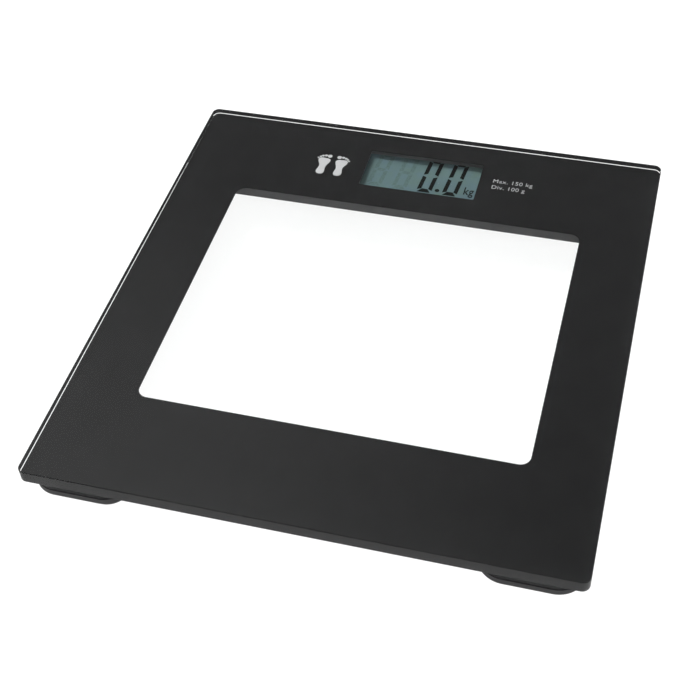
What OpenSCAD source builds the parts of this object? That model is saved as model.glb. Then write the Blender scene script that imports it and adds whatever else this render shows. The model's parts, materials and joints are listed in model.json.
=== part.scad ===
// Glass platform bathroom scale with a display band, four load-cell feet and a coin-cell battery.
// Millimetres. X runs across the platform, +Y towards the display, Z up from the floor.

/* [Glass platform] */
// Width of the glass
glass_w = 300; // [280:1:340]
// Depth of the glass, front to display edge
glass_d = 320; // [310:1:340]
// Thickness of the glass
glass_t = 8; // [6:0.5:10]
// Corner radius of the glass in plan
glass_r = 4.5; // [3:0.5:14]
// Ground bevel along both edges of the glass
glass_bevel = 0.4; // [0.3:0.1:1]
// Height of the glass underside above the floor
under_h = 15; // [15:0.5:18]

/* [Printed border] */
// Thickness of the baked print
print_t = 0.15; // [0.1:0.05:0.2]
// Width of the clear window
window_w = 218.6; // [200:0.2:224]
// Depth of the clear window
window_d = 181.4; // [160:0.2:182]
// Back edge of the clear window from the glass centre
window_back = 88.6; // [80:0.2:89]
// Corner radius of the clear window
window_r = 6; // [3:0.5:10]

/* [Display] */
// Width of the display window
display_w = 74.4; // [70:0.2:76]
// Depth of the display window
display_d = 34.5; // [32:0.1:35]
// Display window centre from the middle of the glass
display_x = 2.2; // [0:0.1:4]
// Display window centre from the middle of the glass, towards the back
display_y = 124.6; // [124:0.1:125]

/* [Feet] */
// Foot centre from the middle of the glass, sideways
foot_x = 120; // [112:0.5:122]
// Foot centre from the middle of the glass, front and back
foot_y = 136; // [134:0.5:137]
// Foot width
foot_w = 55; // [52:0.5:56]
// Foot depth
foot_d = 44; // [42:0.5:45]
// Corner radius of a foot in plan
foot_r = 15; // [12:0.5:16]
// Inward slope of the foot's side down to the floor
foot_taper = 3.2; // [2:0.1:4]
// Upward travel of a foot against its load cell
foot_travel = 0.8; // [0.4:0.1:1]

/* [Rear housing] */
// Width of the housing's front bar
bar_w = 292; // [280:1:294]
// Depth of the housing's front bar
bar_d = 22.5; // [20:0.5:23]
// Width of the housing between the rear feet
box_w = 176; // [170:1:178]
// Depth of the housing between the rear feet
box_d = 67.5; // [66:0.5:68]
// Height of the housing's floor above the ground
housing_z = 7.9; // [7.5:0.1:8.2]
// Wall of the housing and of its cover
wall = 1.8; // [1.6:0.1:2]

/* [Electronics cover] */
// Width of the screwed cover
cover_w = 170; // [168:1:171]
// Depth of the screwed cover
cover_d = 58; // [57:1:59]
// Height of the cover above the ground
cover_z = 4; // [3.5:0.5:4.5]

/* [Battery] */
// Battery centre, sideways
cell_x = 65; // [64.5:0.1:65.2]
// Battery centre, towards the back
cell_y = 123; // [122:0.5:124]
// Battery radius
cell_r = 10; // [9:0.5:10]
// Battery height
cell_h = 3.2; // [2.5:0.1:3.2]

/* [Hidden] */
$fn = 64;
eps = 0.01;
gap = 0.3;
tape_t = 0.8;
print_edge = 0.05;
window_corner_r = 1;
print_z = under_h - print_t;
mount_top = print_z - tape_t;
window_y = window_back - window_d / 2;

// Foot stack, from the floor up
pad_t = 1.4;
cap_z = 0.6;
cap_floor_t = 2;
cap_top = 9;
taper_top = 5.4;
seam = foot_travel + gap;
mount_z = cap_top + seam;
mount_wall = 1.8;
mount_plate_z = mount_top - 1.6;
lip_in = mount_wall + 1;
lip_t = 0.8;
skirt_in = lip_in + gap;
skirt_wall = 1.4;
skirt_top = 11.5;
catch_w = 1.6;
catch_l = 4;
catch_y = 5;
pad_fit = 0.4;
groove_w = 1.2;
groove_depth = 0.4;
groove_pitch = 5;
groove_end = 4;
cell_plate_w = 34;
cell_plate_d = 30;
cell_plate_t = 2;
cell_plate_z = 9;
slot_w = 2;
boss_r = 4.5;
boss_gap = 0.05;
pad_w = 38;
pad_d = 28;
pad_r = 9;

// Leads and their channels; the pads lie on the board's left end
lead_r = 0.55;
lead_pitch = 1.4;
lead_z = mount_plate_z - 0.75;
notch_w = 6;
skirt_notch_w = 11;
skirt_notch_l = 8;
skirt_notch_z = lead_z - lead_r - foot_travel - 0.15;
channel_w = 8;
channel_wall = 1;
channel_x = 130;
channel_start = -foot_y + foot_d / 2 + gap;
side_exit = -11;
pads_outer_x = -52.6;
pads_inner_x = -48.6;
pads_battery_x = -44.6;
battery_lead_w = 1;
pads_rear_x = -48;
pads_front_y = 104;
pads_rear_y = 143;

// Housing and cover
housing_y = window_back + 0.9;
bar_y = housing_y + bar_d / 2;
box_y = housing_y + box_d / 2;
housing_r = 6;
housing_plate = 1.6;
flange_in = 5;
flange_t = 1.2;
cover_y = housing_y + 7.5 + cover_d / 2;
cover_r = 8;
cover_plate = 1.6;
post_x = 79;
post_y = [cover_y - 22.5, cover_y + 22.5];
post_r = 3.4;
screw_r = 1.3;
screw_head_r = 2.5;
screw_len = 8.4;
recess_z = cover_z + 2.2;
rib_x = 40;
rib_w = 2;
rib_l = 1.9;
rib_h = 5;
stop_x = post_x + 4.2;
stop_w = 3;
stop_l = 52;
board_post_x = 36;
board_post_y = 20;
board_post_r = 1.8;
cover_edge_r = 1.5;
boss_wall_r = 3.9;

// Display stack, from the glass down
lcd_w = 80;
lcd_d = 44;
lcd_top = 12;
film_t = 0.2;
plate_t = 1.1;
lcd_ledge = 3;
frame_wall = 2;
frame_lip = 0.6;
pcb_z = 7;
pcb_t = 1.2;
frame_w = lcd_w + 2 * frame_wall + 6;
frame_d = lcd_d + 2 * frame_wall;
board_extra = 12;
frame_screw_x = frame_w / 2 - 2.4;
frame_screw_y = frame_d / 2 - 4;

// Battery door
hinge_y = cell_y + 15;
hinge_z = cover_z + 1.6;
barrel_r = 1.6;
barrel_w = 24;
slot_lap = 2;
pin_r = 0.9;
pin_clear = 0.07;
pin_l = 2;
ear_w = 2.6;
ear_l = 4.4;
ear_h = 3.8;
slot_end = 2.1;
recess_r = 4;
recess_depth = 0.8;
contact_w = 6;
contact_t = 0.3;
contact_x = cell_x - cell_r - 0.4;
contact_fit = 0.4;
door_w = 30;
door_front = cell_y - 12.7;
door_back = cell_y + 11.5;
door_t = 1.4;
cell_z = cover_z + 2;
well_r = cell_r + 0.5;
well_wall = 1.6;
well_top = cover_z + 6.1;

CORNERS = [["front_left", -1, -1], ["front_right", 1, -1], ["rear_left", -1, 1], ["rear_right", 1, 1]];
CORNER_PARTS = ["foot_tape", "foot_mount", "load_cell", "strain_gauge", "foot_cap", "foot_pad", "cell_leads"];
SIDES = [["left", -1], ["right", 1]];

// Flat rounded rectangle, centred
module rounded(w, d, r) {
    square([w - 2 * r, d], center = true);
    square([w, d - 2 * r], center = true);
    for (sx = [-1, 1], sy = [-1, 1])
        translate([sx * (w / 2 - r), sy * (d / 2 - r)]) circle(r);
}

// Upright slab with rounded corners
module slab(w, d, r, z0, z1) {
    translate([0, 0, z0]) linear_extrude(z1 - z0) rounded(w, d, r);
}

// Rounded block whose sides follow a flat profile, drawn outwards from the corner's centre
module profiled_block(w, d, r, z0, z1) {
    translate([0, 0, z0]) linear_extrude(z1 - z0) square([w - 2 * r, d - 2 * r], center = true);
    for (a = [0, 180]) {
        rotate(a) translate([w / 2 - r, 0, 0]) rotate([90, 0, 0])
            linear_extrude(d - 2 * r, center = true) children();
        rotate(a) translate([0, d / 2 - r, 0]) rotate([90, 0, 90])
            linear_extrude(w - 2 * r, center = true) children();
    }
    for (sx = [-1, 1], sy = [-1, 1])
        translate([sx * (w / 2 - r), sy * (d / 2 - r), 0]) rotate_extrude() children();
}

// T outline of the rear housing, shrunk by a margin
module housing_outline(margin) {
    translate([0, bar_y]) rounded(bar_w - 2 * margin, bar_d - 2 * margin, housing_r - min(margin, 5));
    translate([0, box_y]) rounded(box_w - 2 * margin, box_d - 2 * margin, housing_r - min(margin, 5));
}

// Moves a corner part to its foot; +x points outwards and +y to the front or back edge
module at_foot(sx, sy) {
    translate([sx * foot_x, sy * foot_y, 0])
        mirror([sx < 0 ? 1 : 0, 0, 0])
            mirror([0, sy < 0 ? 1 : 0, 0]) children();
}

module glass_platform() {
    color("lightcyan", 0.4)
        profiled_block(glass_w, glass_d, glass_r, under_h, under_h + glass_t)
            polygon([
                [0, under_h],
                [glass_r - glass_bevel, under_h],
                [glass_r, under_h + glass_bevel],
                [glass_r, under_h + glass_t - glass_bevel],
                [glass_r - glass_bevel, under_h + glass_t],
                [0, under_h + glass_t]
            ]);
}

module border_print() {
    edge = 2 * (glass_bevel + print_edge);
    color("black") translate([0, 0, print_z]) linear_extrude(print_t)
        difference() {
            rounded(glass_w - edge, glass_d - edge, glass_r - edge / 2);
            translate([0, window_y]) rounded(window_w, window_d, window_r);
            translate([display_x, display_y]) rounded(display_w, display_d, window_corner_r);
        }
}

module housing_tape() {
    color("dimgray") translate([0, 0, mount_top]) linear_extrude(tape_t)
        difference() {
            housing_outline(0.4);
            housing_outline(flange_in - 0.4);
        }
}

module rear_housing() {
    color([0.16, 0.16, 0.17]) difference() {
        union() {
            difference() {
                translate([0, 0, housing_z]) linear_extrude(mount_top - housing_z) housing_outline(0);
                translate([0, 0, housing_z + housing_plate])
                    linear_extrude(mount_top - flange_t - housing_z - housing_plate) housing_outline(wall);
                translate([0, 0, housing_z + housing_plate])
                    linear_extrude(mount_top - housing_z) housing_outline(flange_in);
                translate([0, cover_y, 0])
                    slab(cover_w - 5, cover_d - 5, 4, housing_z - eps, housing_z + housing_plate + eps);
            }
            for (sx = [-1, 1], y = post_y) translate([sx * post_x, y, housing_z])
                cylinder(r = post_r, h = mount_top - housing_z);
            for (sx = [-1, 1]) translate([sx * stop_x - stop_w / 2, cover_y - stop_l / 2, housing_z])
                cube([stop_w, stop_l, housing_plate]);
            for (sx = [-1, 1]) translate([sx * rib_x - rib_w / 2, housing_y + wall - eps, housing_z])
                cube([rib_w, rib_l, rib_h]);
        }
        for (sx = [-1, 1], y = post_y) translate([sx * post_x, y, housing_z - eps])
            cylinder(r = screw_r + 0.02, h = screw_len - 2);
        for (sx = [-1, 1]) {
            translate([sx * channel_x - notch_w / 2, housing_y - 1, lead_z - 1])
                cube([notch_w, wall + 2, 1.9]);
            translate([sx * (box_w / 2 - wall / 2) - 2, foot_y + side_exit - notch_w / 2, lead_z - 1])
                cube([4, notch_w, 1.9]);
        }
    }
}

module electronics_cover() {
    color([0.19, 0.19, 0.2]) difference() {
        union() {
            translate([0, cover_y, 0]) difference() {
                profiled_block(cover_w, cover_d, cover_r, cover_z, housing_z) {
                    square_edge_profile(cover_r, cover_z, housing_z, cover_edge_r);
                }
                slab(cover_w - 2 * wall, cover_d - 2 * wall, cover_r - wall, cover_z + cover_plate, housing_z + 1);
            }
            for (sx = [-1, 1], y = post_y) translate([sx * post_x, y, cover_z])
                cylinder(r = boss_wall_r, h = housing_z - cover_z);
            for (sx = [-1, 1], sy = [-1, 1])
                translate([display_x + sx * board_post_x, display_y + sy * board_post_y, cover_z])
                    cylinder(r = board_post_r, h = pcb_z - cover_z);
            translate([cell_x - door_w / 2 - well_wall, door_front - well_wall, cover_z])
                cube([door_w + 2 * well_wall, door_back - door_front + 2 * well_wall, well_top - cover_z]);
            for (sx = [-1, 1])
                translate([cell_x + sx * (barrel_w / 2 + gap + ear_w / 2), hinge_y, cover_z])
                    translate([-ear_w / 2, -ear_l / 2, 0]) cube([ear_w, ear_l, ear_h]);
        }
        for (sx = [-1, 1], y = post_y) translate([sx * post_x, y, cover_z - eps]) {
            cylinder(r = screw_r + 0.2, h = housing_z);
            cylinder(r = screw_head_r + 0.3, h = recess_z - cover_z + eps);
        }
        translate([cell_x, cell_y, cover_z - eps]) cylinder(r = well_r, h = 7);
        translate([cell_x - door_w / 2 - gap, door_front - gap, cover_z - eps])
            cube([door_w + 2 * gap, door_back - door_front + 2 * gap, door_t + gap + eps]);
        translate([cell_x - barrel_w / 2 - gap, door_back - slot_lap, cover_z - eps])
            cube([barrel_w + 2 * gap, hinge_y + slot_end - door_back + slot_lap, 7]);
        translate([cell_x - barrel_w / 2 - pin_l - gap, hinge_y, hinge_z]) rotate([0, 90, 0])
            cylinder(r = pin_r + pin_clear, h = barrel_w + 2 * pin_l + 2 * gap);
        translate([contact_x - contact_fit, cell_y - contact_w / 2 - contact_fit, cell_z])
            cube([well_r - cell_r + contact_fit, contact_w + 2 * contact_fit, well_top]);
        // Finger recess in front of the battery door
        translate([cell_x, door_front - 1.5, cover_z - eps]) cylinder(r = recess_r, h = recess_depth);
    }
}

// Side profile with a rounded lower edge
module square_edge_profile(r, z0, z1, edge) {
    translate([0, z0 + edge]) square([r, z1 - z0 - edge]);
    translate([0, z0]) square([r - edge, edge + eps]);
    intersection() {
        translate([r - edge, z0 + edge]) circle(edge);
        translate([0, z0]) square([r, z1 - z0]);
    }
}

module cover_screws() {
    color("silver") for (sx = [-1, 1], y = post_y) translate([sx * post_x, y, recess_z]) difference() {
        union() {
            cylinder(r = screw_r, h = screw_len - 2.2);
            translate([0, 0, -1.7]) cylinder(r = screw_head_r, h = 1.7);
        }
        for (a = [0, 90]) rotate(a) translate([-1.4, -0.25, -1.8]) cube([2.8, 0.5, 1.1]);
    }
}

module battery_door() {
    color([0.22, 0.22, 0.23]) {
        difference() {
            union() {
                translate([cell_x - door_w / 2, door_front, cover_z])
                    cube([door_w, door_back - door_front, door_t]);
                translate([cell_x - barrel_w / 2, door_back - 0.5, cover_z])
                    cube([barrel_w, hinge_y - door_back + 0.5, door_t]);
                translate([cell_x - barrel_w / 2, hinge_y, hinge_z]) rotate([0, 90, 0])
                    cylinder(r = barrel_r, h = barrel_w);
                translate([cell_x - barrel_w / 2 - pin_l, hinge_y, hinge_z]) rotate([0, 90, 0])
                    cylinder(r = pin_r, h = barrel_w + 2 * pin_l);
            }
            for (i = [0:4]) translate([cell_x - 8, door_front + 3 + 1.8 * i, cover_z - eps])
                cube([16, 0.8, 0.35]);
        }
    }
}

module battery_cell() {
    color("silver") translate([cell_x, cell_y, cell_z]) {
        cylinder(r = cell_r, h = cell_h - 0.6);
        cylinder(r = cell_r - 1.2, h = cell_h);
    }
}

module contact_negative() {
    spring_z = cell_z + cell_h + 0.05;
    color("gold") {
        translate([cell_x, cell_y, spring_z]) cylinder(r = 3, h = well_top - spring_z + eps);
        translate([cell_x - 2, cell_y - 2, well_top]) cube([4, 14.5, 0.3]);
    }
}

module contact_positive() {
    color("gold") {
        translate([contact_x, cell_y - contact_w / 2, cell_z + contact_fit])
            cube([contact_t, contact_w, well_top - cell_z - contact_fit + eps]);
        translate([cell_x - cell_r - 3.6, cell_y - contact_w / 2, well_top])
            cube([3.5, contact_w, contact_t]);
    }
}

// Unit vector to the left of the run from a to b
function left_of(a, b) = [a[1] - b[1], b[0] - a[0]] / norm(b - a);
// Point i of a flat route moved sideways by s, with mitred bends
function beside(route, i, s) =
    let(
        before = max(i - 1, 0),
        after = min(i, len(route) - 2),
        n1 = left_of(route[before], route[before + 1]),
        n2 = left_of(route[after], route[after + 1])
    ) route[i] + s * (n1 + n2) / (1 + n1 * n2);

// Lead beside a route in plan, which drops to its pad on the board at the last point
module lead(route, shift, width, z0, z1) {
    last = len(route) - 1;
    end = beside(route, last, shift);
    translate([0, 0, z0]) linear_extrude(z1 - z0) polygon(concat(
        [for (i = [0:last]) beside(route, i, shift - width / 2)],
        [for (i = [last:-1:0]) beside(route, i, shift + width / 2)]
    ));
    translate([end[0] - width / 2, end[1] - width / 2, pcb_z + pcb_t])
        cube([width, width, z1 - pcb_z - pcb_t]);
}

module battery_leads() {
    z0 = well_top + 0.3;
    red_x = cell_x - cell_r - 2;
    color("firebrick") lead([
        [red_x, cell_y - 2],
        [red_x, housing_y + 9.4],
        [pads_battery_x, housing_y + 9.4],
        [pads_battery_x, pads_front_y + 5]
    ], 0, battery_lead_w, z0, z0 + 0.7);
    color("black") lead([
        [cell_x, cell_y + 11],
        [cell_x, 150],
        [pads_battery_x, 150],
        [pads_battery_x, pads_rear_y]
    ], 0, battery_lead_w, z0, z0 + 0.7);
}

module display_gasket() {
    color([0.1, 0.1, 0.1]) translate([display_x, display_y, mount_top]) linear_extrude(tape_t)
        difference() {
            rounded(display_w + 7, display_d + 7, 2);
            rounded(display_w + 2, display_d + 2, 1);
        }
}

module display_frame() {
    color([0.25, 0.25, 0.26]) translate([display_x, display_y, 0]) difference() {
        slab(frame_w, frame_d, 2, pcb_z + pcb_t, mount_top);
        slab(lcd_w + 0.4, lcd_d + 0.4, 0.5, pcb_z, lcd_top + 0.05);
        slab(display_w + 2 * frame_lip, display_d + 2 * frame_lip, 1, pcb_z, under_h);
        for (sx = [-1, 1], sy = [-1, 1]) translate([sx * frame_screw_x, sy * frame_screw_y, pcb_z])
            cylinder(r = 0.82, h = 5);
    }
}

module lcd_panel() {
    color([0.55, 0.6, 0.58]) translate([display_x, display_y, 0]) {
        slab(lcd_w, lcd_d, 0.5, lcd_top - film_t - plate_t, lcd_top - film_t);
        slab(lcd_w, lcd_d - 2 * lcd_ledge, 0.5, lcd_top - film_t - 2 * plate_t, lcd_top - film_t - plate_t);
    }
}

module lcd_polarizer() {
    color([0.5, 0.56, 0.54]) translate([display_x, display_y, 0])
        slab(lcd_w - 2, lcd_d - 1, 0.5, lcd_top - film_t, lcd_top);
}

module lcd_reflector() {
    back = lcd_top - film_t - 2 * plate_t;
    color("silver") translate([display_x, display_y, 0])
        slab(lcd_w - 2, lcd_d - 2 * lcd_ledge - 2, 0.5, back - film_t, back);
}

module zebra_strips() {
    top = lcd_top - film_t - plate_t;
    color([0.85, 0.55, 0.6]) for (sy = [-1, 1])
        translate([display_x - lcd_w / 2 + 3, display_y + sy * (lcd_d / 2 - 1.4) - 1, pcb_z + pcb_t])
            cube([lcd_w - 6, 2, top - pcb_z - pcb_t]);
}

module main_board() {
    color("darkgreen") translate([display_x, display_y, 0]) difference() {
        translate([-board_extra / 2, 0, 0])
            slab(frame_w + board_extra, frame_d, 1, pcb_z, pcb_z + pcb_t);
        for (sx = [-1, 1], sy = [-1, 1]) translate([sx * frame_screw_x, sy * frame_screw_y, pcb_z - 1])
            cylinder(r = 1.1, h = 4);
    }
}

module board_screws() {
    color("silver") for (sx = [-1, 1], sy = [-1, 1])
        translate([display_x + sx * frame_screw_x, display_y + sy * frame_screw_y, pcb_z]) {
            cylinder(r = 0.8, h = 5);
            translate([0, 0, -1]) cylinder(r = 1.6, h = 1);
        }
}

module chip_blob() {
    ball_r = 13;
    color("black") intersection() {
        translate([display_x - 8, display_y, pcb_z + ball_r - 1.1]) sphere(ball_r, $fn = 240);
        translate([display_x - 28, display_y - 20, pcb_z - 3]) cube([40, 40, 3]);
    }
}

module board_components() {
    color("saddlebrown") for (i = [0:5])
        translate([display_x + 8 + 3.2 * i, display_y - 12, pcb_z - 0.6]) cube([1.6, 0.8, 0.6]);
    color("dimgray") for (i = [0:3])
        translate([display_x + 8 + 4 * i, display_y - 6, pcb_z - 0.5]) cube([2, 1.2, 0.5]);
    color("silver") translate([display_x + 14, display_y + 8, pcb_z - 1.2]) cube([8, 3, 1.2]);
    color("tan") translate([display_x + 26, display_y + 8, pcb_z - 1.2]) cylinder(r = 2.5, h = 1.2);
}

module lead_channel(sx) {
    length = housing_y - gap - channel_start;
    color([0.12, 0.12, 0.12]) translate([sx * channel_x, channel_start + length / 2, 0]) difference() {
        translate([-channel_w / 2, -length / 2, lead_z - 1.6])
            cube([channel_w, length, mount_top - lead_z + 1.6]);
        translate([-channel_w / 2 + channel_wall, -length / 2 - 1, lead_z - lead_r - 0.05])
            cube([channel_w - 2 * channel_wall, length + 2, mount_top]);
    }
}

module channel_tape(sx) {
    length = housing_y - gap - channel_start;
    color("dimgray") for (side = [-1, 1])
        translate([sx * channel_x + side * (channel_w - channel_wall) / 2, channel_start + length / 2, 0])
            translate([-channel_wall / 2, -length / 2, mount_top]) cube([channel_wall, length, tape_t]);
}

module foot_tape(sx, sy) {
    color("dimgray") at_foot(sx, sy)
        slab(foot_w - 4, foot_d - 4, foot_r - 2, mount_top, print_z);
}

// Opening in the foot mount's wall where the leads leave
module lead_notch(sy) {
    if (sy < 0)
        translate([channel_x - foot_x - notch_w / 2, -foot_d / 2 - 1, lead_z - 0.9])
            cube([notch_w, 6, mount_plate_z - lead_z + 0.9]);
    else
        translate([-foot_w / 2 - 1, side_exit - notch_w / 2, lead_z - 0.9])
            cube([6, notch_w, mount_plate_z - lead_z + 0.9]);
}

module foot_mount(sx, sy) {
    color([0.14, 0.14, 0.15]) at_foot(sx, sy) {
        difference() {
            slab(foot_w, foot_d, foot_r, mount_z, mount_top);
            slab(foot_w - 2 * lip_in, foot_d - 2 * lip_in, foot_r - lip_in, mount_z - 1, mount_plate_z);
            slab(foot_w - 2 * mount_wall, foot_d - 2 * mount_wall, foot_r - mount_wall,
                mount_z + lip_t, mount_plate_z);
            lead_notch(sy);
        }
        // Ribs the load cell's frame rests against, and hooks that hold it from below
        for (side = [-1, 1]) {
            translate([side * (cell_plate_w / 2 - 1.5) - 1, -8, cell_plate_z + cell_plate_t])
                cube([2, 16, mount_plate_z - cell_plate_z - cell_plate_t + eps]);
            translate([side * (cell_plate_w / 2 + 1.1) - 0.8, -4, cell_plate_z - 1.2])
                cube([1.6, 8, mount_plate_z - cell_plate_z + 1.2 + eps]);
            translate([side * (cell_plate_w / 2 - 0.4) - 0.9, -4, cell_plate_z - 1.2])
                cube([1.8, 8, 1.15]);
        }
    }
}

module load_cell(sx, sy) {
    inner_w = cell_plate_w - 12;
    inner_d = cell_plate_d - 10;
    color("lightgray") at_foot(sx, sy) difference() {
        slab(cell_plate_w, cell_plate_d, 3, cell_plate_z, cell_plate_z + cell_plate_t);
        // U-shaped slot that frees the tongue
        translate([0, 0, cell_plate_z - 1]) linear_extrude(cell_plate_t + 2) difference() {
            square([inner_w, inner_d], center = true);
            translate([0, slot_w]) square([inner_w - 2 * slot_w, inner_d], center = true);
        }
        // Windows that leave two bending beams beside the tongue's root
        for (side = [-1, 1]) translate([side * 3.4 - 1, inner_d / 2 - 5, cell_plate_z - 1])
            cube([2, 4, cell_plate_t + 2]);
    }
}

module strain_gauge(sx, sy) {
    color("khaki") at_foot(sx, sy)
        translate([-2, cell_plate_d / 2 - 9.8, cell_plate_z + cell_plate_t]) cube([4, 4.6, 0.1]);
}

// Side profile of the foot: a slope up from the floor, then upright to the seam
module foot_side_profile() {
    polygon([
        [0, cap_z],
        [foot_r - foot_taper, cap_z],
        [foot_r, taper_top],
        [foot_r, cap_top],
        [0, cap_top]
    ]);
}

// Opening in the foot's skirt, deep enough that the leads stay clear when the foot is pressed
module skirt_notch(sy) {
    if (sy < 0)
        translate([channel_x - foot_x - 7, -foot_d / 2, skirt_notch_z]) cube([skirt_notch_w, skirt_notch_l, skirt_top]);
    else
        translate([-foot_w / 2, side_exit - notch_w / 2, skirt_notch_z]) cube([skirt_notch_l, notch_w, skirt_top]);
}

module foot_cap(sx, sy) {
    inner_w = foot_w - 2 * skirt_in;
    inner_d = foot_d - 2 * skirt_in;
    hollow_w = inner_w - 2 * skirt_wall;
    hollow_d = inner_d - 2 * skirt_wall;
    hollow_r = foot_r - skirt_in - skirt_wall;
    floor_z = cap_z + cap_floor_t;
    catch_z = mount_z + lip_t + 0.1;
    color([0.3, 0.3, 0.31]) at_foot(sx, sy) {
        difference() {
            profiled_block(foot_w, foot_d, foot_r, cap_z, cap_top) foot_side_profile();
            slab(hollow_w, hollow_d, hollow_r, floor_z, cap_top + 1);
            slab(pad_w + pad_fit, pad_d + pad_fit, pad_r + pad_fit / 2, cap_z - 1, pad_t);
        }
        difference() {
            union() {
                slab(inner_w, inner_d, foot_r - skirt_in, cap_top - eps, skirt_top);
                for (side = [-1, 1], y = [-catch_y, catch_y])
                    translate([side * (inner_w / 2 + 0.1) - catch_w / 2, y - catch_l / 2, catch_z])
                        cube([catch_w, catch_l, skirt_top - catch_z]);
            }
            slab(hollow_w, hollow_d, hollow_r, cap_z, skirt_top + 1);
            skirt_notch(sy);
        }
        // Boss that presses on the load cell's tongue
        translate([0, 0, floor_z - eps])
            cylinder(r = boss_r, h = cell_plate_z - boss_gap - floor_z + eps);
    }
}

module foot_pad(sx, sy) {
    color([0.2, 0.2, 0.2]) at_foot(sx, sy) difference() {
        slab(pad_w, pad_d, pad_r, 0, pad_t);
        for (i = [-2:2])
            translate([i * groove_pitch - groove_w / 2, -pad_d / 2 + groove_end, groove_depth - 1])
                cube([groove_w, pad_d - 2 * groove_end, 1]);
    }
}

// Routes of the lead bundles in plan, from the strain gauge to the board's pads
function lead_route(sx, sy) =
    sy < 0 ? [
        [sx * foot_x, -foot_y - 7],
        [sx * foot_x, -foot_y + 12],
        [sx * channel_x, -foot_y + foot_d / 2 - 3],
        [sx * channel_x, housing_y + 6],
        [sx < 0 ? pads_outer_x : pads_inner_x, housing_y + 6],
        [sx < 0 ? pads_outer_x : pads_inner_x, pads_front_y]
    ] : sx < 0 ? [
        [-foot_x, foot_y + 7],
        [-foot_x, foot_y + side_exit],
        [pads_outer_x, foot_y + side_exit]
    ] : [
        [foot_x, foot_y + 7],
        [foot_x, foot_y + side_exit],
        [box_w / 2 - 3, foot_y + side_exit],
        [60, 151.6],
        [pads_rear_x, 151.6],
        [pads_rear_x, pads_rear_y]
    ];

module cell_leads(sx, sy) {
    for (k = [-1, 0, 1])
        color(k < 0 ? "firebrick" : k > 0 ? "black" : "white")
            lead(lead_route(sx, sy), k * lead_pitch, 2 * lead_r, lead_z - lead_r, lead_z + lead_r);
}

// One drawing line for each node
glass_platform();
border_print();
housing_tape();
rear_housing();
electronics_cover();
cover_screws();
battery_door();
battery_cell();
contact_negative();
contact_positive();
battery_leads();
display_gasket();
display_frame();
lcd_panel();
lcd_polarizer();
lcd_reflector();
zebra_strips();
main_board();
board_screws();
chip_blob();
board_components();
for (s = SIDES) {
    lead_channel(s[1]);
    channel_tape(s[1]);
}
for (c = CORNERS) {
    foot_tape(c[1], c[2]);
    foot_mount(c[1], c[2]);
    load_cell(c[1], c[2]);
    strain_gauge(c[1], c[2]);
    foot_cap(c[1], c[2]);
    foot_pad(c[1], c[2]);
    cell_leads(c[1], c[2]);
}
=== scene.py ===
"""Digital bathroom scale: finished pieces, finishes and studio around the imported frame."""

import json
import math

import bmesh
import bpy
from mathutils import Matrix, Vector


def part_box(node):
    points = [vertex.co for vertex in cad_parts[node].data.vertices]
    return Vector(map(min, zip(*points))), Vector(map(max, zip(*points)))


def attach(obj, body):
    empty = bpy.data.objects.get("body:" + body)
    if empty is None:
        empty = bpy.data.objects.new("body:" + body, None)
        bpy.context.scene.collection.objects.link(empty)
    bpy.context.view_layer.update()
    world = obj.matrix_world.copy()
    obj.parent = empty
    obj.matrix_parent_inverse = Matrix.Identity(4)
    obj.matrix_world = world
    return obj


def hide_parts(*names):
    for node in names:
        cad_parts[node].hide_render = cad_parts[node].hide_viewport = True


bl_info = {
    "name": "Glass Platform Scale",
    "version": (1, 0, 0),
    "blender": (4, 5, 0),
    "location": "3D View > Sidebar > Scale",
    "description": "Builds the finished pieces of a glass bathroom scale around its CAD frame",
    "category": "Object",
}

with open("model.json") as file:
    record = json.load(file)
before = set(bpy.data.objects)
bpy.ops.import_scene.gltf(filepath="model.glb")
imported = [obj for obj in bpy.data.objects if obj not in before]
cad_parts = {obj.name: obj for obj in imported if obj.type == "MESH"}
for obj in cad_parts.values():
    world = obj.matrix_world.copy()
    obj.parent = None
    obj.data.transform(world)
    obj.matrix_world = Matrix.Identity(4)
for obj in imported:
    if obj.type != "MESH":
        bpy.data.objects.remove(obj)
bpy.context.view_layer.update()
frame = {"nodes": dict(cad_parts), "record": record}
MM = 0.001
CORNERS = ("front_left", "front_right", "rear_left", "rear_right")
PLATFORM = "platform"


# ---------------------------------------------------------------- settings


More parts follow.
